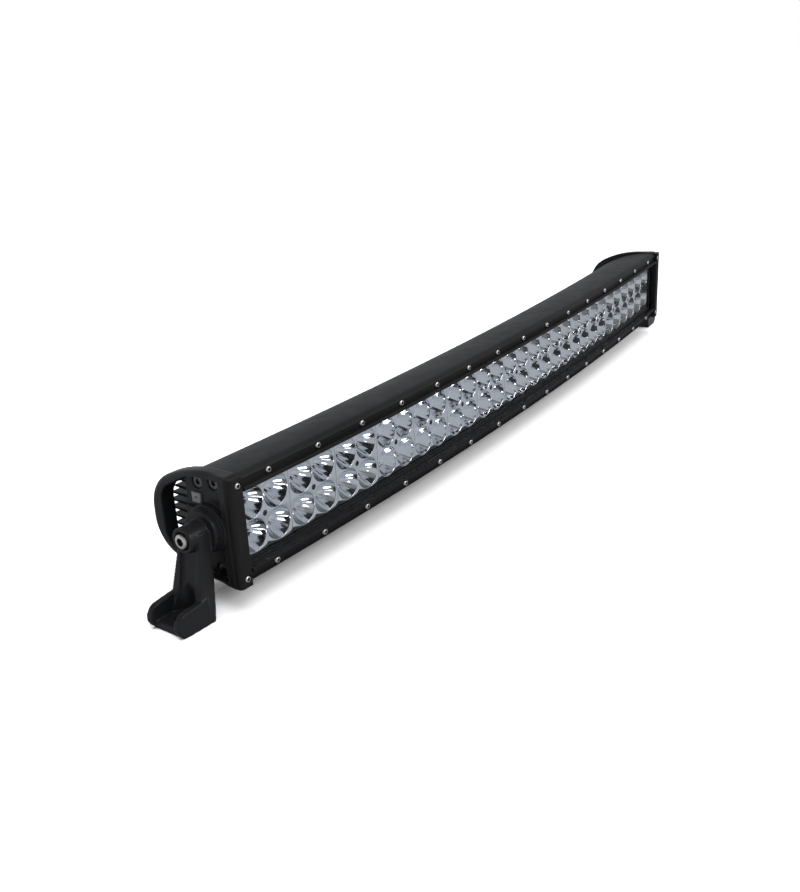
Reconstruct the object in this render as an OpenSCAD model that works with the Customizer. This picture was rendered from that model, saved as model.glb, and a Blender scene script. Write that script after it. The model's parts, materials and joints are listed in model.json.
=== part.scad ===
// Curved double-row LED light bar that stands on two pivoting feet.
// The bar is bent to an arc, so its front bows out in the middle and both ends sweep back.
// Depth is measured backwards from the plane of the front screws, height from the pivot axis.

/* [Light bar] */
// Number of LED modules along the bar, each with two by two lights
module_count = 15; // [9:2:21]
// Distance from one LED module to the next
module_pitch = 52; // [50:1:58]
// Radius of the arc that the front of the bar follows
bend_radius = 5400; // [4500:100:9000]
// Distance between the two rows of front screws
screw_row_gap = 69.2; // [69.1:0.1:69.3]
// Radius of a front screw's button head
button_r = 2.6; // [2.2:0.1:2.6]

/* [Heat sink] */
// Number of cooling fins across the back
fin_count = 9; // [5:2:9]
// Distance from one fin to the next
fin_pitch = 6; // [5.5:0.1:6.2]
// Thickness of a fin where it leaves the back wall
fin_root = 3.2; // [2.6:0.1:3.6]

/* [Optics] */
// Radius of a reflector cup at its mouth
cup_mouth_r = 12.2; // [11:0.1:12.3]
// Radius of a reflector cup round its light
cup_base_r = 3.6; // [3.2:0.1:4.2]
// Distance of each cup's axis from its module's centre lines
cup_offset = 12.5; // [12.4:0.1:12.6]

/* [Feet] */
// Height of the pivot axis above the ground
pivot_height = 61.5; // [60:0.5:64]
// Length of the barrel that the pivot bolt passes through
barrel_length = 21.3; // [19:0.1:24]
// Width of the foot on the ground, from front to back
foot_width = 32; // [30:1:34]
// Distance of the foot's middle behind the pivot axis
foot_shift = 3; // [0:0.5:4]
// Diameter of the mounting hole in each foot
foot_hole_d = 8.5; // [6.5:0.5:10.5]

/* [Hidden] */
// Bar length and end stack, outwards from the end of the extrusion
half_bar = module_count * module_pitch / 2 + 0.8;
gasket_t = 0.8;
cap_in = gasket_t;
cap_out = 12.8;
recess_floor = 7.8;

// Front stack, in depth
lip_front = -2.5;
groove_floor = 1.5;
strip_back = 3.2;
lens_back = 6.2;
seat_depth = 7.2;
plate_front = 8.4;
plate_back = 9.9;
board_front = 23;
board_back = 24.6;
chamber_front = 30.6;
chamber_back = 42.6;
fin_base = 46.6;

// Half heights
opening_h = 28.5;
lip_top_h = 31.6;
strip_h = 37.4;
lens_h = 31;
screw_h = screw_row_gap / 2;
chamber_h = 21;
bezel_h = 40.5;
cap_h = 41.3;

// Shoulder and rounded back of the extrusion
shoulder_r = 7.5;
shoulder_depth = 6;
back_reach = 70;
back_h = 40.5;

// Outline of an end cap
cap_straight = 18;
cap_top_r = 105.7;
cap_corner_r = 29.3;
cap_corner_depth = 52.7;
cap_corner_h = 3.7;
cap_turn = 27;
cap_rim = 4;
vent_front = 47.5;
vent_corner_depth = 53;
vent_corner_r = 16.4;
vent_corner_h = 10;

// Pivot
pivot_depth = 25;
boss_r = 17.5;
boss_top = 13.3;
flange_r = 15.5;
flange_in = boss_top + gasket_t + 0.1;
flange_t = 5;
barrel_r = 9.5;
barrel_end = flange_in + barrel_length;
counterbore_r = 6.3;
counterbore_depth = 7;
bolt_r = 3;
bolt_tip = 2.5;

// Foot, measured outwards from the end of the extrusion
leg_in_top = flange_in + flange_t;
leg_in_bottom = 25.8;
leg_out_top = 29.5;
leg_out_bottom = 36;
toe_end = 58.8;
toe_r = 9;
rail_t = 5;
floor_t = 6;
foot_hole_out = 43;
foot_pocket_r = 11;

// Cable gland and breather, in a pocket cut through the fins
gland_s = 300;
breather_s = 270;
pocket_s = [252, 318];
pocket_h = 15;

// Screws and their holes
m3_hole_r = 1.65;
m3_thread_r = 1.55;
board_screw_r = 1.3;
bezel_screw_x = 5.4;
bezel_seat = lip_front + 1.6;
cap_seat = 4;
cap_recess_r = 4.75;

// One reflector module's plate, and the hole that feeds a light board
plate_half_w = 25.8;
plate_half_h = 27.6;
feed_hole_r = 2.5;
feed_shift = 60;

strip_screws = [for (i = [0 : module_count - 1]) (i - (module_count - 1) / 2) * module_pitch];
cap_screws = [[20, 32.4], [35.5, 30.4]];
cap_hole_r = 2.75;
board_count = 5;
modules_per_board = module_count / board_count;
driver_s = 150;

// Distance from the front plane's middle to the middle of the part's box, front to back
end_turn = half_bar / bend_radius * 180 / PI;
sweep_back = bend_radius * (1 - cos(end_turn));
rear_most = sweep_back + (cap_corner_depth + cap_corner_r) * cos(end_turn) + cap_out * sin(end_turn);
mid_depth = (rear_most + lip_front) / 2;

$fn = 48;

// Turn of the bar's arc at a distance s along it
function turn(s) = s / bend_radius * 180 / PI;

// Points of an arc about c, from angle a to angle b
function arc(c, r, a, b, n) =
    [for (k = [0 : n]) c + r * [cos(a + (b - a) * k / n), sin(a + (b - a) * k / n)]];

// A half outline and its mirror image below the axis
function closed(half) = concat(half, [for (k = [len(half) - 1 : -1 : 0]) [half[k][0], -half[k][1]]]);

// Whole part, moved so that its box is centred over the ground
module standing() translate([0, -mid_depth, pivot_height]) children();

// Section in depth and height, swept along the bar from s0 to s1
module swept(s0, s1)
    standing() translate([0, bend_radius, 0]) rotate([0, 0, turn(s0) - 90])
        rotate_extrude(angle = turn(s1 - s0), $fn = 1440)
            translate([bend_radius, 0]) mirror([1, 0]) children();

// Frame of the bar at s: x along the bar, y backwards, z up
module at(s)
    standing() translate([0, bend_radius, 0]) rotate([0, 0, turn(s)])
        translate([0, -bend_radius, 0]) children();

// Frame of one end: x points out of the bar
module at_end(side)
    at(side == "left" ? -half_bar : half_bar) mirror([side == "left" ? 1 : 0, 0, 0]) children();

// Section in depth and height, given a thickness along x
module slab(x0, x1) translate([x0, 0, 0]) rotate([90, 0, 90]) linear_extrude(x1 - x0) children();

// Section in x and height, given a thickness along y
module plate_xz(y0, y1) translate([0, y1, 0]) rotate([90, 0, 0]) linear_extrude(y1 - y0) children();

module rod_x(r, x0, x1) translate([x0, 0, 0]) rotate([0, 90, 0]) cylinder(r = r, h = x1 - x0);
module rod_y(r, y0, y1) translate([0, y0, 0]) rotate([-90, 0, 0]) cylinder(r = r, h = y1 - y0);
module block(from, to) translate(from) cube(to - from);

// ---- Extrusion ----

housing_half = concat(
    arc([shoulder_depth, back_h - shoulder_r], shoulder_r, 144, 90, 6),
    [for (a = [2 : 4 : 90]) [shoulder_depth + back_reach * sin(a), back_h * cos(a)]]);

module fin_gap(z) {
    root = (fin_pitch - fin_root) / 2;
    polygon([[fin_base, z - root], [fin_base, z + root], [80, z + root + 1.2], [80, z - root - 1.2]]);
}

module housing_section() difference() {
    polygon(closed(housing_half));
    translate([-5, -opening_h]) square([5 + board_back, 2 * opening_h]);
    translate([-5, -lens_h - 0.3]) square([5 + seat_depth, 2 * lens_h + 0.6]);
    translate([-5, -strip_h]) square([5 + strip_back, 2 * strip_h]);
    translate([chamber_front, -chamber_h]) square([chamber_back - chamber_front, 2 * chamber_h]);
    for (k = [-fin_count / 2 : fin_count / 2]) fin_gap(k * fin_pitch);
}

module housing() color([0.19, 0.2, 0.21]) difference() {
    swept(-half_bar, half_bar) housing_section();
    for (s = strip_screws) at(s) {
        for (z = [-screw_h, screw_h]) translate([0, 0, z]) rod_y(m3_thread_r, strip_back - 1, 12);
        rod_y(1.15, board_back - 1, board_back + 5);
    }
    for (side = ["left", "right"]) at_end(side) for (p = cap_screws, z = [-1, 1])
        translate([0, p[0], z * p[1]]) rod_x(2.5, -16, 1);
    at(0) block([pocket_s[0], fin_base - 0.2, -pocket_h], [pocket_s[1], 100, pocket_h]);
    at(gland_s) rod_y(6.1, chamber_back - 1, fin_base + 1);
    at(breather_s) rod_y(4.1, chamber_back - 1, fin_base + 1);
    for (s = [-driver_s, driver_s]) at(s + feed_shift)
        rod_y(feed_hole_r, board_back - 1, chamber_front + 1);
}

// ---- Lens and its clamping frame ----

module lens() color([0.85, 0.9, 0.93, 0.35]) swept(-half_bar - bezel_screw_x, half_bar + bezel_screw_x)
    translate([strip_back, -lens_h]) square([lens_back - strip_back, 2 * lens_h]);

module lens_gasket() color([0.06, 0.06, 0.06]) difference() {
    swept(-half_bar - bezel_screw_x, half_bar + bezel_screw_x)
        translate([lens_back, -lens_h]) square([seat_depth - lens_back, 2 * lens_h]);
    swept(-half_bar - 1, half_bar + 1)
        translate([lens_back - 1, -opening_h]) square([seat_depth - lens_back + 2, 2 * opening_h]);
}

module strip_section() polygon([
    [strip_back, opening_h], [strip_back, strip_h - 0.05], [groove_floor, strip_h - 0.05],
    [groove_floor, lip_top_h + 0.3], [groove_floor - 0.3, lip_top_h],
    [lip_front + 1.2, lip_top_h], [lip_front, lip_top_h - 1.2],
    [lip_front, opening_h + 1], [lip_front + 1, opening_h]]);

module strip_screw_holes(z) for (s = strip_screws) at(s)
    translate([0, 0, z]) rod_y(m3_hole_r, -3, strip_back + 1);

module top_lens_strip() color([0.08, 0.08, 0.09]) difference() {
    swept(-half_bar, half_bar) strip_section();
    strip_screw_holes(screw_h);
}

module bottom_lens_strip() color([0.08, 0.08, 0.09]) difference() {
    swept(-half_bar, half_bar) mirror([0, 1]) strip_section();
    strip_screw_holes(-screw_h);
}

// Button-head screw along y, its head's seat at y = 0 and its hexagon socket in front
module button_screw(r, head_r, head_h, length, socket) difference() {
    union() {
        rod_y(r, -0.5, length);
        rotate([90, 0, 0]) rotate_extrude() polygon([[0, 0], [head_r, 0], [head_r, 0.35 * head_h],
            [0.8 * head_r, 0.85 * head_h], [0.55 * head_r, head_h], [0, head_h]]);
    }
    rotate([90, 0, 0]) translate([0, 0, 0.35 * head_h]) cylinder(r = socket, h = head_h, $fn = 6);
}

module strip_screw_row(z) color([0.75, 0.75, 0.77]) for (s = strip_screws)
    at(s) translate([0, groove_floor, z]) button_screw(1.5, button_r, 1.65, 9.5, 1.15);
module top_strip_screws() strip_screw_row(screw_h);
module bottom_strip_screws() strip_screw_row(-screw_h);

// ---- Lights ----

cup_depth = board_front - 0.6 - plate_front;
cup_k = (cup_mouth_r * cup_mouth_r - cup_base_r * cup_base_r) / cup_depth;
function cup_r(y) = sqrt(cup_base_r * cup_base_r + cup_k * (cup_depth - y));
cup_steps = [for (k = [0 : 7]) cup_depth * k / 7];

// Parabolic cup of even wall, its mouth in the plate's front face
module cup() rotate([-90, 0, 0]) rotate_extrude() polygon(concat(
    [for (y = cup_steps) [cup_r(y), y]],
    [for (k = [7 : -1 : 0]) [cup_r(cup_steps[k]) + 0.9, cup_steps[k]]]));

module reflector(i) color([0.8, 0.81, 0.83]) at(strip_screws[i - 1]) difference() {
    union() {
        difference() {
            block([-plate_half_w, plate_front, -plate_half_h], [plate_half_w, plate_back, plate_half_h]);
            for (x = [-1, 1], z = [-1, 1]) translate([x * cup_offset, 0, z * cup_offset])
                rod_y(cup_mouth_r + 0.4, plate_front - 1, plate_back + 1);
        }
        for (x = [-1, 1], z = [-1, 1]) translate([x * cup_offset, plate_front, z * cup_offset]) cup();
        rod_y(3.8, plate_front + 0.5, board_front - 0.15);
    }
    rod_y(2.2, plate_front - 1, 12.9);
    rod_y(board_screw_r, 12, board_front + 1);
}

module reflector_screws() color([0.5, 0.5, 0.52]) for (s = strip_screws) at(s) translate([0, 12.9, 0])
    button_screw(1.1, 2, 1.4, 15.5, 0.9);

module led_board(i) color([0.9, 0.91, 0.9]) {
    middle = (i - (board_count + 1) / 2) * modules_per_board * module_pitch;
    reach = modules_per_board * module_pitch / 2 - 0.3;
    difference() {
        swept(middle - reach, middle + reach)
            translate([board_front, -27]) square([board_back - board_front, 54]);
        for (k = [1 : modules_per_board]) at(strip_screws[(i - 1) * modules_per_board + k - 1])
            rod_y(board_screw_r, board_front - 1, board_back + 1);
        for (s = [-driver_s, driver_s]) at(s + feed_shift)
            rod_y(feed_hole_r, board_front - 1, board_back + 1);
    }
}

module led_emitters() color([0.96, 0.85, 0.35]) for (s = strip_screws) at(s)
    for (x = [-1, 1], z = [-1, 1]) translate([x * cup_offset, board_front, z * cup_offset]) {
        block([-1.7, -0.8, -1.7], [1.7, 0, 1.7]);
        rotate([90, 0, 0]) rotate_extrude() polygon(concat([[0, 0.5]], arc([0, 0.8], 1.35, 0, 90, 6)));
    }

// Short insulated links from each light board to the next
module board_jumpers() color([0.6, 0.1, 0.1]) for (k = [1 : board_count - 1], z = [-1, 1]) {
    joint = (k - board_count / 2) * modules_per_board * module_pitch;
    swept(joint - 7, joint + 7) translate([board_front - 1, z * 26.2]) circle(r = 0.9);
}

// ---- Electronics behind the lights ----

module driver_board(s) at(s) {
    color([0.1, 0.35, 0.2]) difference() {
        block([-55, 33.4, -18], [55, 35, 18]);
        for (x = [-50, 50], z = [-14, 14]) translate([x, 0, z]) rod_y(1.5, 33, 36);
    }
    color([0.15, 0.15, 0.16]) {
        for (x = [-50, 50], z = [-14, 14]) translate([x, 0, z]) difference() {
            rod_y(2.8, 31.1, 33.4);
            rod_y(1.5, 31, 34);
        }
        for (x = [-34, -12, 12]) block([x - 6, 35, -6], [x + 6, 40.5, 6]);
        for (x = [-44, -23, 0, 23]) translate([x, 0, 11]) rod_y(3.4, 35, 41);
        block([28, 35, -9], [46, 38, 9]);
    }
}
module driver_board_left() driver_board(-driver_s);
module driver_board_right() driver_board(driver_s);

// Pair of leads from the cable gland along the chamber to both driver boards
module supply_leads() for (k = [0, 1]) color(k == 0 ? [0.7, 0.08, 0.08] : [0.07, 0.07, 0.07])
    swept(driver_s + 47, gland_s + 2 - 5 * k) translate([36.5, k * 5 - 2.5]) circle(r = 1.1, $fn = 24);

module gland_body() color([0.07, 0.07, 0.07]) at(gland_s) difference() {
    union() {
        rod_y(6, 40.8, fin_base);
        translate([0, fin_base + 4, 0]) rotate([90, 0, 0]) cylinder(r = 9.2, h = 4.2, $fn = 6);
        rod_y(6.6, fin_base + 3.5, fin_base + 9);
    }
    rod_y(4.5, 38, 70);
}
module gland_seal() color([0.2, 0.2, 0.2]) at(gland_s) difference() {
    rod_y(4.45, fin_base - 2, fin_base + 12);
    rod_y(3.3, 30, 80);
}
module gland_nut() color([0.07, 0.07, 0.07]) at(gland_s) difference() {
    rotate([-90, 0, 0]) rotate_extrude() polygon([[4.6, fin_base + 4.2], [8.6, fin_base + 4.2],
        [8.6, fin_base + 11], [6.4, fin_base + 14], [4.6, fin_base + 14]]);
    rod_y(6.7, fin_base + 4, fin_base + 9.2);
    for (a = [0 : 30 : 330]) rotate([0, a, 0]) translate([9.2, 0, 0])
        rod_y(1.1, fin_base + 4, fin_base + 12);
}
module breather_plug() color([0.07, 0.07, 0.07]) at(breather_s) difference() {
    union() {
        rod_y(4, 41.5, fin_base);
        rod_y(7, fin_base - 0.2, fin_base + 4);
        rod_y(5.4, fin_base + 3.5, fin_base + 5.5);
    }
    rod_y(1.5, 41, fin_base + 3);
    for (a = [0, 90]) rotate([0, a, 0]) translate([0, fin_base + 2.6, 0]) rod_x(0.7, -10, 10);
}

// ---- End caps ----

cap_half = concat([[strip_back, cap_h]],
    arc([cap_straight, cap_h - cap_top_r], cap_top_r, 90, 90 - cap_turn, 8),
    arc([cap_corner_depth, cap_corner_h], cap_corner_r, 90 - cap_turn, 0, 8));

recess_half = concat([[10, cap_h - cap_rim]],
    arc([cap_straight, cap_h - cap_top_r], cap_top_r - cap_rim, 90, 76, 4),
    arc([vent_corner_depth, vent_corner_h], vent_corner_r, 66, 0, 6));

vent_half = concat([[vent_front, 29.5]], arc([vent_corner_depth, vent_corner_h], vent_corner_r, 66, 0, 6));

module at_pivot() translate([0, pivot_depth, 0]) children();

module end_cap(side) color([0.1, 0.1, 0.11]) at_end(side) difference() {
    union() {
        difference() {
            slab(cap_in, cap_out) polygon(closed(cap_half));
            slab(recess_floor, cap_out + 1) polygon(closed(recess_half));
            slab(0, cap_out + 1) polygon(closed(vent_half));
        }
        at_pivot() rod_x(boss_r, recess_floor - 1, boss_top);
        block([recess_floor - 1, 38, 6.5], [11, 46, 12.5]);
    }
    block([0, 0, -lens_h - 0.3], [6, seat_depth, lens_h + 0.3]);
    for (p = cap_screws, z = [-1, 1]) translate([0, p[0], z * p[1]]) {
        rod_x(cap_hole_r, 0, 20);
        rod_x(cap_recess_r, cap_seat, 20);
    }
    at_pivot() rod_x(bolt_r + 0.05, bolt_tip - 0.5, 20);
    for (z = [-screw_h, screw_h]) translate([bezel_screw_x, 0, z]) rod_y(m3_thread_r, 0, 10.5);
}

module cap_gasket(side) color([0.06, 0.06, 0.06]) at_end(side) difference() {
    slab(0, gasket_t) polygon([[8, 38], [24, 37], [44, 33], [44, -33], [24, -37], [8, -38]]);
    block([-1, 0, -opening_h], [2, board_back, opening_h]);
    block([-1, chamber_front, -chamber_h], [2, chamber_back, chamber_h]);
    for (p = cap_screws, z = [-1, 1]) translate([0, p[0], z * p[1]]) rod_x(cap_hole_r, -1, 2);
}

// Socket-head screw along x, its head's seat at x = 0 and its tip inwards
module socket_screw(r, head_r, head_h, length, socket) difference() {
    union() {
        rod_x(r, -length, 0.5);
        rod_x(head_r, 0, head_h);
    }
    translate([head_h / 2, 0, 0]) rotate([0, 90, 0]) cylinder(r = socket, h = head_h, $fn = 6);
}

module cap_screws(side) color([0.55, 0.55, 0.57]) at_end(side) for (p = cap_screws, z = [-1, 1])
    translate([cap_seat, p[0], z * p[1]]) socket_screw(2.45, 4.25, 2.8, 18, 2.3);

module end_bezel(side) color([0.08, 0.08, 0.09]) at_end(side) difference() {
    translate([0, 0, -bezel_h]) linear_extrude(2 * bezel_h) polygon(concat(
        [[cap_in, strip_back], [cap_in, lip_front + 1], [cap_in + 1, lip_front]],
        arc([cap_out - 3, lip_front + 3], 3, -90, 0, 6), [[cap_out, strip_back]]));
    for (z = [-screw_h, screw_h]) translate([bezel_screw_x, 0, z]) {
        rod_y(m3_hole_r, -5, 5);
        rod_y(3, -5, bezel_seat);
    }
}

module bezel_screws(side) color([0.75, 0.75, 0.77]) at_end(side) for (z = [-screw_h, screw_h])
    translate([bezel_screw_x, bezel_seat, z]) button_screw(1.5, button_r, 1.65, 10, 1.15);

// Pale breathable pad on the cap's face, with a narrow slot
module vent_pad(side) color([0.45, 0.47, 0.5]) at_end(side) difference() {
    block([recess_floor, 32.5, 15.6], [recess_floor + 1.4, 40.5, 22.8]);
    block([recess_floor - 1, 35.2, 19], [recess_floor + 3, 37.6, 20]);
}

// ---- Pivot and feet ----

module ring(r, hole_r, x0, x1) difference() {
    rod_x(r, x0, x1);
    rod_x(hole_r, x0 - 1, x1 + 1);
}

seat_x = barrel_end - counterbore_depth;

module friction_washer(side) color([0.12, 0.12, 0.12]) at_end(side) at_pivot()
    ring(flange_r, 3.3, boss_top, boss_top + gasket_t);
module flat_washer(side) color([0.75, 0.75, 0.77]) at_end(side) at_pivot()
    ring(5.9, 3.3, seat_x + 0.05, seat_x + 1.25);
module spring_washer(side) color([0.6, 0.6, 0.62]) at_end(side) at_pivot() difference() {
    ring(5.4, 3.15, seat_x + 1.25, seat_x + 2.85);
    rotate([20, 0, 0]) block([seat_x, -0.5, 0], [seat_x + 4, 0.5, 8]);
}
module pivot_bolt(side) color([0.78, 0.78, 0.8]) at_end(side) at_pivot() translate([seat_x + 2.85, 0, 0])
    socket_screw(bolt_r, 5.3, 6, seat_x + 2.85 - bolt_tip, 2.9);

// Side view of a foot's leg, in x and height
leg_side = [[leg_in_top, 4], [leg_out_top - 1, 4], [leg_out_top, -6], [leg_out_bottom, -42],
    [leg_out_bottom + 4, -pivot_height + floor_t], [leg_out_bottom + 4, -pivot_height],
    [leg_in_bottom, -pivot_height], [leg_in_top + 0.6, -20]];

// Front view of the leg, in depth from the pivot and height, down its front edge and up its rear edge
foot_front = foot_shift - foot_width / 2;
foot_rear = foot_shift + foot_width / 2;
leg_front = [[-9.8, 4], [-9.9, -10], [foot_front, -pivot_height + 8], [foot_front, -pivot_height],
    [foot_rear, -pivot_height], [foot_rear, -pivot_height + 8], [12.3, -10], [9, 4]];

// Side view of a foot's rails, from the leg down over the toe
rail_side = concat([[leg_out_bottom - 6, -41], [leg_out_bottom, -42]],
    arc([toe_end - toe_r, toe_r - pivot_height], toe_r, 90, -90, 12),
    [[leg_out_bottom - 6, -pivot_height]]);

module foot_rails() for (y = [-1, 1]) translate([0, foot_shift + y * (foot_width - rail_t) / 2, 0])
    plate_xz(-rail_t / 2, rail_t / 2) polygon(rail_side);

module bracket(side) color([0.1, 0.1, 0.11]) at_end(side) at_pivot() difference() {
    union() {
        rod_x(flange_r, flange_in, flange_in + flange_t);
        rod_x(barrel_r, flange_in, barrel_end);
        intersection() {
            plate_xz(-30, 30) polygon(leg_side);
            slab(0, 80) polygon(leg_front);
        }
        foot_rails();
        block([leg_out_bottom - 6, foot_front + 1, -pivot_height],
            [toe_end - 4.5, foot_rear - 1, -pivot_height + floor_t]);
    }
    rod_x(bolt_r + 0.25, 0, 80);
    rod_x(counterbore_r, barrel_end - counterbore_depth, 80);
    plate_xz(-5.2, 9.4) polygon([[leg_out_top - 1.2, -11], [leg_out_bottom - 2.2, -43],
        [leg_out_bottom + 8, -43], [leg_out_top + 10, -11]]);
    translate([foot_hole_out, foot_shift, floor_t - pivot_height]) cylinder(r = foot_pocket_r, h = 30);
    translate([foot_hole_out, foot_shift, -pivot_height - 1]) cylinder(d = foot_hole_d, h = 20);
}

housing();
lens();
lens_gasket();
top_lens_strip();
bottom_lens_strip();
top_strip_screws();
bottom_strip_screws();
led_emitters();
reflector_screws();
board_jumpers();
driver_board_left();
driver_board_right();
supply_leads();
gland_body();
gland_seal();
gland_nut();
breather_plug();
for (i = [1 : module_count]) reflector(i);
for (i = [1 : board_count]) led_board(i);
for (side = ["left", "right"]) {
    end_cap(side);
    cap_gasket(side);
    end_bezel(side);
    cap_screws(side);
    bezel_screws(side);
    vent_pad(side);
    friction_washer(side);
    bracket(side);
    flat_washer(side);
    spring_washer(side);
    pivot_bolt(side);
}
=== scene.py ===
"""Curved LED light bar on two pivoting feet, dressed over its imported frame."""
import bmesh
import bpy
import math
from mathutils import Matrix, Vector
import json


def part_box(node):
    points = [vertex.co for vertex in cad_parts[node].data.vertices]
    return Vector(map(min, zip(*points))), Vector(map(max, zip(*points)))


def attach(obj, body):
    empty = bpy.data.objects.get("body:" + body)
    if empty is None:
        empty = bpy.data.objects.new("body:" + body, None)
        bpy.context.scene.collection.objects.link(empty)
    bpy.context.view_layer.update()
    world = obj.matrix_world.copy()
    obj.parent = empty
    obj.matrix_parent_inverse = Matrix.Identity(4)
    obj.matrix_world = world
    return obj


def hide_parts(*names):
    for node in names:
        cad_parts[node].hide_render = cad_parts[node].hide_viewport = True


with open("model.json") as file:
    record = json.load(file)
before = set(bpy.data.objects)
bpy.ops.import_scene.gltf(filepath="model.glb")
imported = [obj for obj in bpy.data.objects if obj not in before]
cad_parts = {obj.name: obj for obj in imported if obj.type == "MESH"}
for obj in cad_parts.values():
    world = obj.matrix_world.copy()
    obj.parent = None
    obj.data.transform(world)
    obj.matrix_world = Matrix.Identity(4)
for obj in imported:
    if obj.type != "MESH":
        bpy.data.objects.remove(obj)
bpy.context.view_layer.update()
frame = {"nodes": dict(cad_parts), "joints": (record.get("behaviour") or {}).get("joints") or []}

MM = 0.001
WELD = 2e-6

# ---- Frame of the bar, in millimetres: arc position s, depth d, height z ----

BEND_RADIUS = 5400.0
LIP_FRONT = -2.5
MODULE_COUNT = 15
MODULE_PITCH = 52.0
HALF_BAR = MODULE_COUNT * MODULE_PITCH / 2 + 0.8
PIVOT_HEIGHT = frame["joints"][0]["pos_m"][2] / MM
MID_DEPTH = LIP_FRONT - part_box("top_lens_strip")[0].y / MM
SIDES = {"left": -1, "right": 1}
STATIONS = [(k - (MODULE_COUNT - 1) / 2) * MODULE_PITCH for k in range(MODULE_COUNT)]


def bar_point(s, d, z, t=0.0):
    """Point at arc position s, t along the tangent there, in metres in the row frame."""
    a = s / BEND_RADIUS
    x = (BEND_RADIUS - d) * math.sin(a) + t * math.cos(a)
    y = BEND_RADIUS - (BEND_RADIUS - d) * math.cos(a) + t * math.sin(a)
    return Vector((x, y - MID_DEPTH, z + PIVOT_HEIGHT)) * MM


def bar_matrix(s):
    """Local frame at s, in metres: x along the bar, y backwards, z up."""
    a = s / BEND_RADIUS
    return Matrix.Translation(bar_point(s, 0, 0)) @ Matrix.Rotation(a, 4, "Z")


def end_point(side, u, d, z):
    """Point u outwards of one end of the extrusion."""
    return bar_point(SIDES[side] * HALF_BAR, d, z, SIDES[side] * u)


def end_coords(side, p):
    """The inverse of end_point: (u, d, z) in millimetres of a row-frame point in metres."""
    a = SIDES[side] * HALF_BAR / BEND_RADIUS
    origin = bar_point(SIDES[side] * HALF_BAR, 0, 0)
    q = (p - origin) / MM
    u = q.x * math.cos(a) + q.y * math.sin(a)
    d = -q.x * math.sin(a) + q.y * math.cos(a)
    return u * SIDES[side], d, q.z


def arc(c, r, a, b, n):
    """n + 1 points of an arc about c, from angle a to angle b in degrees."""
    angles = [math.radians(a + (b - a) * k / n) for k in range(n + 1)]
    return [(c[0] + r * math.cos(t), c[1] + r * math.sin(t)) for t in angles]


# ---- Mesh helpers ----

def add_piece(name, mesh, body, slot, material, *nodes):
    """A new piece that rides on a body and stands for CAD nodes."""
    piece = bpy.data.objects.new(name, mesh)
    bpy.context.scene.collection.objects.link(piece)
    if material is not None:
        mesh.materials.clear()
        mesh.materials.append(material)
    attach(piece, body)
    if nodes:
        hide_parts(*nodes)
    return piece


def smooth(mesh, angle=35):
    """Smooth shading, except over edges that turn by more than the angle."""
    mesh.shade_smooth()
    mesh.set_sharp_from_angle(angle=math.radians(angle))
    return mesh


def mesh_from(name, verts, faces, angle=35):
    mesh = bpy.data.meshes.new(name)
    mesh.from_pydata([tuple(v) for v in verts], [], faces)
    mesh.validate()
    return smooth(mesh, angle)


def applied(mesh, *modifiers):
    """The mesh with (type, settings) modifiers applied."""
    carrier = bpy.data.objects.new("carrier", mesh)
    bpy.context.scene.collection.objects.link(carrier)
    for kind, settings in modifiers:
        modifier = carrier.modifiers.new(kind.lower(), kind)
        for key, value in settings.items():
            setattr(modifier, key, value)
    graph = bpy.context.evaluated_depsgraph_get()
    made = bpy.data.meshes.new_from_object(carrier.evaluated_get(graph))
    bpy.data.objects.remove(carrier)
    return made


def welded(node):
    """Closed copy of a CAD node's mesh, without its split corners."""
    work = bmesh.new()
    work.from_mesh(frame["nodes"][node].data)
    bmesh.ops.remove_doubles(work, verts=work.verts, dist=WELD)
    mesh = bpy.data.meshes.new(node + "_welded")
    work.to_mesh(mesh)
    work.free()
    return mesh


def remeshed(node, voxel):
    """A CAD solid on an even grid of voxels."""
    return applied(welded(node),
                   ("REMESH", {"mode": "VOXEL", "voxel_size": voxel * MM, "use_smooth_shade": True}))


def softened(mesh, rounds):
    """Every edge and inner corner eased, as on a casting."""
    mesh = applied(mesh, ("SMOOTH", {"factor": 0.5, "iterations": rounds}))
    mesh.shade_smooth()
    return mesh


# ---- Materials ----

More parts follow.
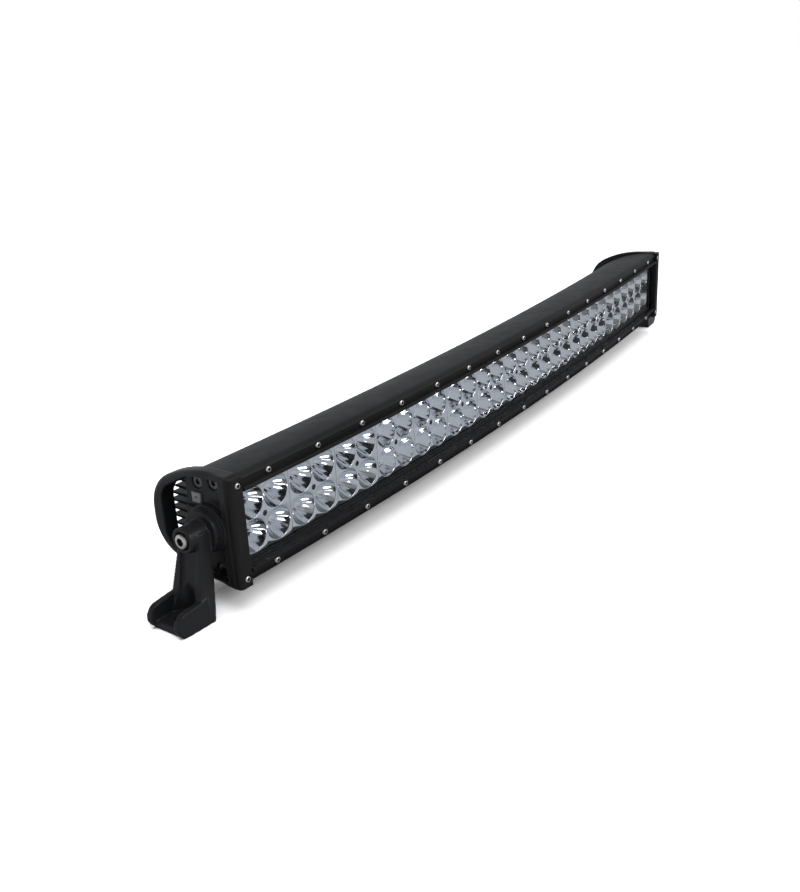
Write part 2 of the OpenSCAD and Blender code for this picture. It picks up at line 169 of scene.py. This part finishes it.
class Shader:
    """Small builder for one node material."""

    def __init__(self, name):
        self.material = bpy.data.materials.new(name)
        self.material.use_nodes = True
        self.tree = self.material.node_tree
        self.shader = self.tree.nodes["Principled BSDF"]
        self.place = self.tree.nodes.new("ShaderNodeTexCoord").outputs["Object"]

    def node(self, kind, **inputs):
        made = self.tree.nodes.new("ShaderNode" + kind)
        for key, value in inputs.items():
            self.plug(value, made.inputs[key.replace("_", " ")])
        return made

    def plug(self, value, socket):
        if isinstance(value, bpy.types.NodeSocket):
            self.tree.links.new(value, socket)
        else:
            socket.default_value = value

    def set(self, **inputs):
        for key, value in inputs.items():
            self.plug(value, self.shader.inputs[key.replace("_", " ")])

    def noise(self, scale, detail=3.0, rough=0.55, stretch=None):
        place = self.place
        if stretch is not None:
            mapping = self.node("Mapping", Vector=place)
            mapping.inputs["Scale"].default_value = stretch
            place = mapping.outputs["Vector"]
        return self.node("TexNoise", Vector=place, Scale=scale, Detail=detail,
                         Roughness=rough).outputs["Fac"]

    def ramp(self, value, low, high, span=(0.3, 0.7)):
        """value mapped from span to the range low to high."""
        made = self.node("MapRange", Value=value)
        for key, number in (("From Min", span[0]), ("From Max", span[1]),
                            ("To Min", low), ("To Max", high)):
            made.inputs[key].default_value = number
        return made.outputs["Result"]

    def blend(self, value, low, high, span=(0.35, 0.65)):
        """Colour between low and high, by value."""
        made = self.tree.nodes.new("ShaderNodeValToRGB")
        made.color_ramp.elements[0].position = span[0]
        made.color_ramp.elements[1].position = span[1]
        made.color_ramp.elements[0].color = (*low, 1)
        made.color_ramp.elements[1].color = (*high, 1)
        self.plug(value, made.inputs["Fac"])
        return made.outputs["Color"]

    def bump(self, height, strength, distance):
        made = self.node("Bump", Height=height, Strength=strength, Distance=distance)
        self.set(Normal=made.outputs["Normal"])


def coated(name, low, high, rough, grain, strength, specular=0.35):
    """Powder coat or anodising: fine orange peel, faint cloudiness."""
    m = Shader(name)
    cloud = m.noise(14, 4)
    fine = m.noise(grain, 2)
    m.set(Base_Color=m.blend(cloud, low, high),
          Roughness=m.ramp(m.noise(60, 4), rough - 0.04, rough + 0.04),
          Specular_IOR_Level=specular)
    m.bump(fine, strength, 0.00003)
    return m.material


def rubber(name, tone):
    m = Shader(name)
    m.set(Base_Color=m.blend(m.noise(180), (tone * 0.8,) * 3, (tone * 1.2,) * 3),
          Roughness=m.ramp(m.noise(400), 0.6, 0.8), Specular_IOR_Level=0.3)
    m.bump(m.noise(1500, 2), 0.25, 0.0001)
    return m.material


def metal(name, low, high, rough, stretch=(1, 1, 1)):
    """Bare or plated metal with fine turning marks."""
    m = Shader(name)
    marks = m.noise(900, 3, stretch=stretch)
    m.set(Metallic=1.0, Base_Color=m.blend(m.noise(120, 4), low, high),
          Roughness=m.ramp(marks, rough - 0.06, rough + 0.08))
    m.bump(marks, 0.08, 0.00005)
    return m.material


def mirror_silver(name):
    """Vacuum metallised plastic: nearly a mirror, with a slight haze."""
    m = Shader(name)
    m.set(Metallic=1.0, Base_Color=m.blend(m.noise(70, 4), (0.80, 0.82, 0.86), (0.84, 0.86, 0.90)),
          Roughness=m.ramp(m.noise(220, 3), 0.05, 0.09))
    return m.material


def clear_lens(name):
    """Polycarbonate sheet: mostly see-through, with a clean surface gloss."""
    m = Shader(name)
    clear = m.node("BsdfTransparent", Color=(0.97, 0.98, 0.985, 1))
    gloss = m.node("BsdfGlossy", Roughness=m.ramp(m.noise(90, 3), 0.02, 0.05))
    edge = m.node("Math", Value=m.node("LayerWeight", Blend=0.5).outputs["Facing"])
    edge.operation = "POWER"
    edge.inputs[1].default_value = 4.0
    mix = m.node("MixShader", Fac=m.ramp(edge.outputs["Value"], 0.01, 0.2, (0, 1)))
    m.tree.links.new(clear.outputs["BSDF"], mix.inputs[1])
    m.tree.links.new(gloss.outputs["BSDF"], mix.inputs[2])
    m.tree.links.new(mix.outputs["Shader"], m.tree.nodes["Material Output"].inputs["Surface"])
    m.tree.nodes.remove(m.shader)
    return m.material


def lacquered_board(name, low, high):
    m = Shader(name)
    m.set(Base_Color=m.blend(m.noise(260, 3), low, high), Roughness=m.ramp(m.noise(90), 0.25, 0.4))
    m.bump(m.noise(1200, 2), 0.1, 0.00008)
    return m.material


def phosphor(name):
    m = Shader(name)
    m.set(Base_Color=m.blend(m.noise(1600, 2), (0.86, 0.62, 0.10), (0.95, 0.75, 0.20)),
          Roughness=m.ramp(m.noise(300), 0.3, 0.42), Subsurface_Weight=0.2, Subsurface_Scale=0.001)
    return m.material


def felt_pad(name):
    m = Shader(name)
    m.set(Base_Color=m.blend(m.noise(1400, 3), (0.085, 0.09, 0.10), (0.13, 0.14, 0.15)),
          Roughness=m.ramp(m.noise(500), 0.5, 0.65))
    m.bump(m.noise(2600, 2), 0.3, 0.0001)
    return m.material


MATERIALS = {
    "housing_coat": coated("housing_coat", (0.006, 0.0064, 0.0068), (0.008, 0.0084, 0.0088),
                           rough=0.46, grain=2600, strength=0.4, specular=0.16),
    "black_cast": coated("black_cast", (0.0045, 0.0047, 0.0053), (0.007, 0.0073, 0.0080),
                         rough=0.35, grain=1900, strength=0.5, specular=0.26),
    "black_trim": coated("black_trim", (0.004, 0.004, 0.0044), (0.006, 0.006, 0.0064),
                         rough=0.5, grain=3000, strength=0.3, specular=0.14),
    "clear_lens": clear_lens("clear_lens"),
    "black_rubber": rubber("black_rubber", 0.012),
    "stainless": metal("stainless", (0.74, 0.73, 0.71), (0.84, 0.83, 0.81), 0.36),
    "dark_screw": metal("dark_screw", (0.12, 0.12, 0.125), (0.18, 0.18, 0.185), 0.34),
    # dark_screw is a darker metal for the inside of the screws' hexagon sockets: painted shade in the
    # recess, darker than the stainless head.
    "led_yellow": phosphor("led_yellow"),
    "wire_red": rubber("wire_red", 0.3),
    "wire_black": rubber("wire_black", 0.015),
    "green_board": lacquered_board("green_board", (0.01, 0.09, 0.035), (0.015, 0.12, 0.05)),
    "white_board": lacquered_board("white_board", (0.74, 0.75, 0.73), (0.8, 0.81, 0.79)),
    "black_nylon": coated("black_nylon", (0.012, 0.012, 0.012), (0.016, 0.016, 0.016),
                          rough=0.5, grain=1500, strength=0.3),
    "reflector_silver": mirror_silver("reflector_silver"),
    "grey_pad": felt_pad("grey_pad"),
}

for node in frame["nodes"].values():
    for slot in node.material_slots:
        if slot.material is not None and slot.material.name.split(".")[0] in MATERIALS:
            slot.material = MATERIALS[slot.material.name.split(".")[0]]


# ---- Reflectors: one sheet with four cups, fluted at the bar's ends and faceted in the middle ----

PLATE_FRONT = 8.4
PLATE_HALF = (25.8, 27.6)
CUP_OFFSET = 12.5
CUP_MOUTH, CUP_BASE, CUP_EYE = 12.2, 3.6, 2.6
CUP_FLOOR = 22.4
SCREW_HOLE_R, SCREW_HOLE_FLOOR = 2.2, 12.8
SHEET_THICKNESS = 0.25
RIM_ROLL, ROLL_TURNS = 0.28, (90, 60, 30)
FLOOD_MODULES = 3
FLUTES, FLUTE_DEPTH, FLUTE_BLEND = 16, 0.03, 0.4
FLUTE_SAMPLES, FLUTE_SMOOTH = 8, 40
FLUTE_RINGS = (0.0, 0.03, 0.06, *(k / 9 for k in range(1, 10)))
FACETS, FACET_BLEND = 8, 0.15
FACET_SAMPLES, FACET_SMOOTH = 16, 9
FACET_RINGS = (0.0, 0.05, 0.15, 0.38, 0.68, 1.0)


def cup_radius(v):
    """Parabola from the mouth, v = 0, down to the light, v = 1."""
    return math.sqrt(CUP_BASE ** 2 + (CUP_MOUTH ** 2 - CUP_BASE ** 2) * (1 - v))


def fluted(angle, v):
    """Inward flutes that fade in below the mouth."""
    wave = abs(math.sin(FLUTES * angle / 2))
    return 1 - FLUTE_DEPTH * min(1, v / FLUTE_BLEND) * wave


def faceted(angle, v):
    """Flat facets whose corners lie outside the parabola, fading in below the mouth."""
    step = 2 * math.pi / FACETS
    off = angle % step - step / 2
    return 1 + min(1, v / FACET_BLEND) * (1 / math.cos(off) - 1)


def sheet_edge(angle, step):
    """Where a ray from the cup's axis leaves its quarter of the sheet, the screw hole left out."""
    right, top, low = PLATE_HALF[0] - CUP_OFFSET, PLATE_HALF[1] - CUP_OFFSET, -CUP_OFFSET
    for x, z in ((right, top), (low, top), (right, low)):
        gap = (math.atan2(z, x) - angle + math.pi) % (2 * math.pi) - math.pi
        if -step / 2 <= gap < step / 2:
            return x, z
    start = math.atan2(low, low + SCREW_HOLE_R) % (2 * math.pi)
    end = math.atan2(low + SCREW_HOLE_R, low) % (2 * math.pi)
    start, end = min(start, end), max(start, end)
    if start - step / 2 <= angle <= end + step / 2:
        share = min(1, max(0, (angle - start) / (end - start)))
        turn = math.pi / 2 * (1 - share)
        return low + SCREW_HOLE_R * math.cos(turn), low + SCREW_HOLE_R * math.sin(turn)
    c, s = math.cos(angle), math.sin(angle)
    reach = min((right if c > 0 else low) / c if abs(c) > 1e-9 else 1e9,
                (top if s > 0 else low) / s if abs(s) > 1e-9 else 1e9)
    return reach * c, reach * s


def reflector_mesh(name, shape, rings, count, angle):
    """The sheet with its four cups, as count rays round each cup's axis."""
    work = bmesh.new()
    step = 2 * math.pi / count
    angles = [k * step for k in range(count)]
    for kx in (-1, 1):
        for kz in (-1, 1):
            def vert(x, y, z):
                return work.verts.new(((CUP_OFFSET + x) * kx * MM, y * MM,
                                       (CUP_OFFSET + z) * kz * MM))
            edges = [sheet_edge(a, step) for a in angles]
            loops = [[vert(x, PLATE_FRONT, z) for x, z in edges]]
            for turn in ROLL_TURNS:
                r = CUP_MOUTH + RIM_ROLL * (1 - math.cos(math.radians(turn)))
                depth = PLATE_FRONT + RIM_ROLL * (1 - math.sin(math.radians(turn)))
                loops.append([vert(r * math.cos(a), depth, r * math.sin(a)) for a in angles])
            for v in rings:
                depth = PLATE_FRONT + RIM_ROLL + v * (CUP_FLOOR - PLATE_FRONT - RIM_ROLL)
                loops.append([vert(cup_radius(v) * shape(a, v) * math.cos(a), depth,
                                   cup_radius(v) * shape(a, v) * math.sin(a)) for a in angles])
            loops.append([vert(CUP_EYE * math.cos(a), CUP_FLOOR, CUP_EYE * math.sin(a)) for a in angles])
            for low, high in zip(loops, loops[1:]):
                for k in range(count):
                    n = (k + 1) % count
                    quad = (low[k], low[n], high[n], high[k])
                    work.faces.new(quad if kx * kz < 0 else quad[::-1])
            for k in range(count):
                n = (k + 1) % count
                (x0, z0), (x1, z1) = edges[k], edges[n]
                if max(math.hypot(x0 + CUP_OFFSET, z0 + CUP_OFFSET),
                       math.hypot(x1 + CUP_OFFSET, z1 + CUP_OFFSET)) < SCREW_HOLE_R * 1.001:
                    quad = (loops[0][n], loops[0][k], vert(x0, SCREW_HOLE_FLOOR, z0),
                            vert(x1, SCREW_HOLE_FLOOR, z1))
                    work.faces.new(quad if kx * kz < 0 else quad[::-1])
    bmesh.ops.remove_doubles(work, verts=work.verts, dist=WELD)
    bmesh.ops.dissolve_degenerate(work, dist=1e-7, edges=work.edges)
    bmesh.ops.recalc_face_normals(work, faces=work.faces)
    if sum(f.normal.y * f.calc_area() for f in work.faces) > 0:
        bmesh.ops.reverse_faces(work, faces=work.faces)
    mesh = bpy.data.meshes.new(name)
    work.to_mesh(mesh)
    work.free()
    mesh = applied(mesh, ("SOLIDIFY", {"thickness": SHEET_THICKNESS * MM, "offset": -1}))
    mesh.name = name
    return smooth(mesh, angle)


def add_reflectors():
    flood = reflector_mesh("flood_optic", fluted, FLUTE_RINGS, FLUTES * FLUTE_SAMPLES, FLUTE_SMOOTH)
    spot = reflector_mesh("spot_optic", faceted, FACET_RINGS, FACETS * FACET_SAMPLES, FACET_SMOOTH)
    for k, s in enumerate(STATIONS):
        outer = min(k, MODULE_COUNT - 1 - k) < FLOOD_MODULES
        piece = bpy.data.objects.new(f"optic_{k + 1}", flood if outer else spot)
        bpy.context.scene.collection.objects.link(piece)
        piece.matrix_world = bar_matrix(s)
        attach(piece, "light_bar")
        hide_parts(f"reflector_{k + 1}")
    for mesh in (flood, spot):
        mesh.materials.append(MATERIALS["reflector_silver"])


# ---- Extrusion, swept along the bar's arc ----

SHOULDER_C, SHOULDER_R, SHOULDER_START, SHOULDER_STEPS = (6.0, 33.0), 7.5, 144, 9
BACK_REACH, BACK_H, BACK_STEPS = 70.0, 40.5, 16
FIN_BASE, FIN_PITCH, FIN_GAPS = 46.6, 6.0, 5
GAP_ROOT, GAP_SPREAD = 1.4, 1.2 / 33.4
ROOT_FILLET, TIP_FILLET = 1.1, 0.45
ROOT_CUT, TIP_CUT = 0.3, 0.13
LAST_FIN_LAND = 0.9
TIP_ROUNDS = 30
CAVITY = ((24.6, 28.5), (7.2, 28.5), (7.2, 31.3), (3.2, 31.3), (3.2, 37.4))
SWEEP_STEPS = 60
CHAMBER_DEPTHS, CHAMBER_HALF, CHAMBER_OVERRUN = (30.6, 42.6), 21, 2
POCKET_DEPTHS, POCKET_HALF = (FIN_BASE - 0.2, 90), 15
POCKET_SPAN, POCKET_STEPS = (252, 318), 6


def back_depth(z):
    """Depth of the fins' rounded envelope at a height."""
    return SHOULDER_C[0] + BACK_REACH * math.sqrt(max(0, 1 - (z / BACK_H) ** 2))


def gap_side(g, k):
    """From the back's surface into a fin gap along its side k, ending at the gap's rounded root."""
    def z(d):
        return g + k * (GAP_ROOT + GAP_SPREAD * (d - FIN_BASE))
    tip = BACK_REACH
    for _ in range(TIP_ROUNDS):
        tip = back_depth(z(tip))
    low = FIN_BASE + ROOT_FILLET
    return [(tip, z(tip) + k * TIP_FILLET), (tip - TIP_CUT, z(tip) + k * TIP_CUT),
            (tip - TIP_FILLET, z(tip - TIP_FILLET)), (low, z(low)),
            (FIN_BASE + ROOT_CUT, z(FIN_BASE) - k * ROOT_CUT),
            (FIN_BASE, z(FIN_BASE) - k * ROOT_FILLET)]


def housing_outline():
    """Closed outline in depth and height: cavity, shoulder, back, fins, and their mirror image."""
    upper = [*CAVITY] + arc(SHOULDER_C, SHOULDER_R, SHOULDER_START, 90, SHOULDER_STEPS)
    first = (FIN_GAPS - 0.5) * FIN_PITCH
    last_turn = math.acos((first + GAP_ROOT + LAST_FIN_LAND) / BACK_H)
    upper += [(SHOULDER_C[0] + BACK_REACH * math.sin(last_turn * k / BACK_STEPS),
               BACK_H * math.cos(last_turn * k / BACK_STEPS)) for k in range(1, BACK_STEPS + 1)]
    for n in range(FIN_GAPS):
        g = first - n * FIN_PITCH
        upper += gap_side(g, 1) + gap_side(g, -1)[::-1]
    return upper + [(d, -z) for d, z in reversed(upper)]


def swept(name, outline, s0, s1, steps):
    """An outline of (depth, height) points carried along the bar's arc from s0 to s1."""
    n = len(outline)
    verts = [bar_point(s0 + (s1 - s0) * k / steps, d, z)
             for k in range(steps + 1) for d, z in outline]
    faces = [(k * n + j, (k + 1) * n + j, (k + 1) * n + (j + 1) % n, k * n + (j + 1) % n)
             for k in range(steps) for j in range(n)]
    faces += [tuple(range(n)), tuple(range(steps * n, (steps + 1) * n))[::-1]]
    mesh = mesh_from(name, verts, faces)
    work = bmesh.new()
    work.from_mesh(mesh)
    bmesh.ops.recalc_face_normals(work, faces=work.faces)
    work.to_mesh(mesh)
    work.free()
    return mesh


def cutter(name, depths, half, s0, s1, steps):
    """A block swept along the arc, to be cut out of the extrusion."""
    block = [(depths[0], -half), (depths[1], -half), (depths[1], half), (depths[0], half)]
    tool = bpy.data.objects.new("cutter", swept(name, block, s0, s1, steps))
    bpy.context.scene.collection.objects.link(tool)
    return tool


def add_housing():
    body = swept("extrusion", housing_outline(), -HALF_BAR, HALF_BAR, SWEEP_STEPS)
    chamber = cutter("chamber", CHAMBER_DEPTHS, CHAMBER_HALF,
                     -HALF_BAR - CHAMBER_OVERRUN, HALF_BAR + CHAMBER_OVERRUN, SWEEP_STEPS)
    pocket = cutter("pocket", POCKET_DEPTHS, POCKET_HALF, *POCKET_SPAN, POCKET_STEPS)
    body = applied(body, ("BOOLEAN", {"object": chamber, "solver": "EXACT"}),
                   ("BOOLEAN", {"object": pocket, "solver": "EXACT"}))
    for tool in (chamber, pocket):
        bpy.data.objects.remove(tool)
    add_piece("extrusion", smooth(body, 28), "light_bar", "housing_coat",
              MATERIALS["housing_coat"], "housing")


# ---- Castings: end caps with a rounded rim, and the two feet ----

CAP_OUT, CAP_H = 12.8, 41.3
CAP_STRAIGHT, CAP_TOP_R, CAP_TURN = 18.0, 105.7, math.radians(27)
CAP_CORNER, CAP_CORNER_R = (52.7, 3.7), 29.3
RIM_R, RIM_R_FRONT, RIM_GROWS = 5.5, 1.5, (6.0, 22.0)
CAP_VOXEL, FOOT_VOXEL, BEZEL_VOXEL = 0.55, 0.5, 0.4
CAP_ROUNDS, FOOT_ROUNDS, BEZEL_ROUNDS = 5, 10, 3


def cap_inset(d, z):
    """Distance inside the cap's outline, and the outline's inward direction there."""
    az, sign = abs(z), 1 if z >= 0 else -1
    turn = math.atan2(d - CAP_STRAIGHT, az + CAP_TOP_R - CAP_H)
    if d <= CAP_STRAIGHT:
        return CAP_H - az, (0, -sign)
    if turn < CAP_TURN:
        centre, radius = (CAP_STRAIGHT, CAP_H - CAP_TOP_R), CAP_TOP_R
    elif az < CAP_CORNER[1]:
        return CAP_CORNER[0] + CAP_CORNER_R - d, (-1, 0)
    else:
        centre, radius = CAP_CORNER, CAP_CORNER_R
    x, y = d - centre[0], az - centre[1]
    length = max(math.hypot(x, y), 1e-6)
    return radius - length, (-x / length, -sign * y / length)


def round_rim(side, mesh):
    """Rolls the cap's outer edge over, with a radius that grows towards the back."""
    for vertex in mesh.vertices:
        u, d, z = end_coords(side, vertex.co)
        inset, (nd, nz) = cap_inset(d, z)
        share = min(1, max(0, (d - RIM_GROWS[0]) / (RIM_GROWS[1] - RIM_GROWS[0])))
        r = RIM_R_FRONT + (RIM_R - RIM_R_FRONT) * share * share * (3 - 2 * share)
        a, b = r - inset, u - (CAP_OUT - r)
        if a <= 0 or b <= 0 or math.hypot(a, b) <= r:
            continue
        k = r / math.hypot(a, b)
        move = a - a * k
        vertex.co = end_point(side, CAP_OUT - r + b * k, d + nd * move, z + nz * move)


def add_castings(side):
    cap = remeshed(f"end_cap_{side}", CAP_VOXEL)
    round_rim(side, cap)
    cap = softened(cap, CAP_ROUNDS)
    add_piece(f"cap_casting_{side}", cap, "light_bar", "black_cast", MATERIALS["black_cast"],
              f"end_cap_{side}")
    foot = softened(remeshed(f"bracket_{side}", FOOT_VOXEL), FOOT_ROUNDS)
    add_piece(f"foot_casting_{side}", foot, f"{side}_foot", "black_cast", MATERIALS["black_cast"],
              f"bracket_{side}")
    bezel = softened(remeshed(f"end_bezel_{side}", BEZEL_VOXEL), BEZEL_ROUNDS)
    add_piece(f"bezel_frame_{side}", bezel, "light_bar", "black_trim", MATERIALS["black_trim"],
              f"end_bezel_{side}")


# ---- Screws with a hexagon socket ----

# A profile's rows are height over the seat, radius, and 1 where the row is a hexagon.
HEAD_SAMPLES = 36
M3_R, M6_R = 1.5, 3.0
STRIP_SCREW_H, STRIP_SEAT, STRIP_SCREW_LENGTH = 34.6, 1.5, 9.5
BEZEL_SCREW_OUT, BEZEL_SEAT, BEZEL_SCREW_LENGTH = 5.4, -0.9, 10
BUTTON = [(0.0, M3_R, 0), (0.0, 2.6, 0), (0.45, 2.6, 0), (0.95, 2.42, 0), (1.35, 2.08, 0),
          (1.6, 1.72, 0), (1.6, 1.48, 1), (1.45, 1.42, 1), (0.5, 1.42, 1)]
BOLT = [(0.0, M6_R, 0), (0.0, 5.1, 0), (0.2, 5.3, 0), (5.1, 5.3, 0), (5.7, 4.9, 0), (6.0, 4.3, 0),
        (6.0, 3.3, 1), (5.7, 3.05, 1), (2.6, 3.05, 1)]
PIVOT_DEPTH, BOLT_SEAT, BOLT_LENGTH = 25.0, 31.35, 28.85


def screw_mesh(work, place, profile, shank, length):
    """Revolved head with a hexagon socket. place(h, x, z) puts a point h in front of the seat."""
    rows = [(-length, shank * 0.8, 0), (-length + shank * 0.3, shank, 0)] + profile
    loops = []
    for h, r, hexed in rows:
        ring = []
        for k in range(HEAD_SAMPLES):
            a = 2 * math.pi * k / HEAD_SAMPLES
            off = a % (math.pi / 3) - math.pi / 6
            reach = r * math.cos(math.pi / 6) / math.cos(off) if hexed else r
            ring.append(work.verts.new(place(h, reach * math.cos(a), reach * math.sin(a))))
        loops.append(ring)
    for index, (low, high) in enumerate(zip(loops, loops[1:])):
        for k in range(HEAD_SAMPLES):
            n = (k + 1) % HEAD_SAMPLES
            face = work.faces.new((low[k], low[n], high[n], high[k]))
            # The socket's walls take the second, darker material: painted shade inside the hexagon
            # socket.
            face.material_index = 1 if index >= len(rows) - 3 else 0
    work.faces.new(loops[0][::-1])
    # The socket's floor is painted dark too, as shade.
    work.faces.new(loops[-1]).material_index = 1


def add_screws(name, node, places, profile, shank, length):
    """One piece for all the screws of a CAD node, one screw for each place function."""
    work = bmesh.new()
    for place in places:
        screw_mesh(work, place, profile, shank, length)
    bmesh.ops.recalc_face_normals(work, faces=work.faces)
    mesh = bpy.data.meshes.new(name)
    work.to_mesh(mesh)
    work.free()
    mesh.materials.append(MATERIALS["stainless"])
    # Second material: painted shade for the sockets.
    mesh.materials.append(MATERIALS["dark_screw"])
    add_piece(name, smooth(mesh, 32), "light_bar", "stainless", None, node)


def add_all_screws():
    for row, sign in (("top", 1), ("bottom", -1)):
        places = [lambda h, x, z, s=s: bar_point(s, STRIP_SEAT - h, sign * STRIP_SCREW_H + z, x)
                  for s in STATIONS]
        add_screws(f"{row}_row_screws", f"{row}_strip_screws", places, BUTTON, M3_R,
                   STRIP_SCREW_LENGTH)
    for side in SIDES:
        places = [lambda h, x, z, k=k: end_point(side, BEZEL_SCREW_OUT + x, BEZEL_SEAT - h,
                                                 k * STRIP_SCREW_H + z) for k in (-1, 1)]
        add_screws(f"bezel_pair_{side}", f"bezel_screws_{side}", places, BUTTON, M3_R,
                   BEZEL_SCREW_LENGTH)
        places = [lambda h, x, z: end_point(side, BOLT_SEAT + h, PIVOT_DEPTH + x, z)]
        add_screws(f"hinge_bolt_{side}", f"pivot_bolt_{side}", places, BOLT, M6_R, BOLT_LENGTH)


add_reflectors()
add_housing()
add_all_screws()
for side in SIDES:
    add_castings(side)


# ---- Stage: a flat white floor, soft lights, camera ----

FLOOR_HALF = 12.0
# What the mirrors see, from straight below (0) over the horizon (0.5) to straight above (1).
SKY = [(0.0, (0.12, 0.12, 0.12)), (0.2, (0.22, 0.22, 0.225)), (0.3, (0.46, 0.47, 0.495)),
       (0.5, (0.50, 0.51, 0.535)), (0.70, (0.48, 0.49, 0.51)), (0.75, (0.30, 0.295, 0.28)),
       (0.84, (0.18, 0.175, 0.16)), (1.0, (0.12, 0.118, 0.11))]
BACKDROP = (1.0, 1.0, 1.0, 1)
SUN_STRENGTH, SUN_ANGLE = 3.0, 1.2
CAMERA_PLACE = (-0.86078, -0.47645, 0.36386)
CAMERA_YAW, CAMERA_PITCH, CAMERA_ROLL = 0.97966694, -0.36802973, -0.05321959
CAMERA_LENS, CAMERA_SHIFT, CLIP_START = 42.09, (0.00062, -0.00264), 0.02


def add_stage():
    corners = [(-FLOOR_HALF, -FLOOR_HALF, 0), (FLOOR_HALF, -FLOOR_HALF, 0),
               (FLOOR_HALF, FLOOR_HALF, 0), (-FLOOR_HALF, FLOOR_HALF, 0)]
    mesh = mesh_from("stage", corners, [(0, 1, 2, 3)], 60)
    paper = Shader("stage_paper")
    paper.set(Base_Color=paper.blend(paper.noise(3), (0.90, 0.90, 0.905), (0.92, 0.92, 0.925)),
              Roughness=0.9, Specular_IOR_Level=0.1)
    mesh.materials.append(paper.material)
    stage = bpy.data.objects.new("stage", mesh)
    bpy.context.scene.collection.objects.link(stage)
    stage.visible_glossy = False


def add_world():
    """White to the camera. The mirrors see it bright near the horizon, dim above and below."""
    world = bpy.data.worlds.new("studio")
    bpy.context.scene.world = world
    world.use_nodes = True
    tree = world.node_tree
    place = tree.nodes.new("ShaderNodeTexCoord").outputs["Generated"]
    split = tree.nodes.new("ShaderNodeSeparateXYZ")
    tree.links.new(place, split.inputs[0])
    spread = tree.nodes.new("ShaderNodeMapRange")
    spread.inputs["From Min"].default_value = -1
    spread.inputs["From Max"].default_value = 1
    tree.links.new(split.outputs["Z"], spread.inputs["Value"])
    ramp = tree.nodes.new("ShaderNodeValToRGB")
    tree.links.new(spread.outputs["Result"], ramp.inputs["Fac"])
    for element, (position, colour) in zip(ramp.color_ramp.elements, (SKY[0], SKY[-1])):
        element.position = position
        element.color = (*colour, 1)
    for position, colour in SKY[1:-1]:
        ramp.color_ramp.elements.new(position).color = (*colour, 1)
    seen = tree.nodes.new("ShaderNodeBackground")
    seen.inputs["Color"].default_value = BACKDROP
    tree.links.new(ramp.outputs["Color"], tree.nodes["Background"].inputs["Color"])
    mix = tree.nodes.new("ShaderNodeMixShader")
    tree.links.new(tree.nodes.new("ShaderNodeLightPath").outputs["Is Camera Ray"], mix.inputs[0])
    tree.links.new(tree.nodes["Background"].outputs[0], mix.inputs[1])
    tree.links.new(seen.outputs[0], mix.inputs[2])
    tree.links.new(mix.outputs[0], tree.nodes["World Output"].inputs["Surface"])


def add_area(name, place, target, size, power, mirrored=True):
    """A soft rectangular light; the reflectors show it where it is mirrored."""
    lamp = bpy.data.lights.new(name, "AREA")
    lamp.shape = "RECTANGLE"
    lamp.size, lamp.size_y = size
    lamp.energy = power
    light = bpy.data.objects.new(name, lamp)
    light.location = place
    light.rotation_euler = (Vector(target) - Vector(place)).to_track_quat("-Z", "Y").to_euler()
    light.visible_glossy = mirrored
    bpy.context.scene.collection.objects.link(light)


def add_sun():
    """Even light from overhead, so that the floor stays white out to the horizon."""
    lamp = bpy.data.lights.new("overhead", "SUN")
    lamp.energy = SUN_STRENGTH
    lamp.angle = SUN_ANGLE
    light = bpy.data.objects.new("overhead", lamp)
    light.visible_glossy = False
    bpy.context.scene.collection.objects.link(light)


def add_camera():
    """The photograph's view: yaw from +Y towards +X, then pitch, then roll."""
    data = bpy.data.cameras.new("camera")
    data.lens = CAMERA_LENS
    data.shift_x, data.shift_y = CAMERA_SHIFT
    data.clip_start = CLIP_START
    camera = bpy.data.objects.new("camera", data)
    level = math.cos(CAMERA_PITCH)
    forward = Vector((math.sin(CAMERA_YAW) * level, math.cos(CAMERA_YAW) * level,
                      math.sin(CAMERA_PITCH)))
    right = forward.cross(Vector((0, 0, 1))).normalized()
    up = right.cross(forward)
    turned = right * math.cos(CAMERA_ROLL) + up * math.sin(CAMERA_ROLL)
    over = up * math.cos(CAMERA_ROLL) - right * math.sin(CAMERA_ROLL)
    axes = Matrix((turned, over, -forward)).transposed()
    camera.matrix_world = Matrix.Translation(CAMERA_PLACE) @ axes.to_4x4()
    bpy.context.scene.collection.objects.link(camera)
    bpy.context.scene.camera = camera


add_stage()
add_world()
add_area("key", (-1.2, -1.6, 2.2), (0, 0, 0.1), (1.6, 1.6), 44, mirrored=False)
add_sun()
add_area("top", (0.4, 0.4, 2.6), (0, 0, 0.1), (2.4, 2.0), 16, mirrored=False)
add_area("front", (0.1, -2.3, 1.7), (0, 0, 0.05), (1.9, 0.8), 34)
add_area("side", (1.9, -1.5, 1.1), (0.2, 0, 0.1), (1.2, 1.2), 14, mirrored=False)
add_camera()
bpy.context.scene.view_settings.view_transform = "Standard"

import json
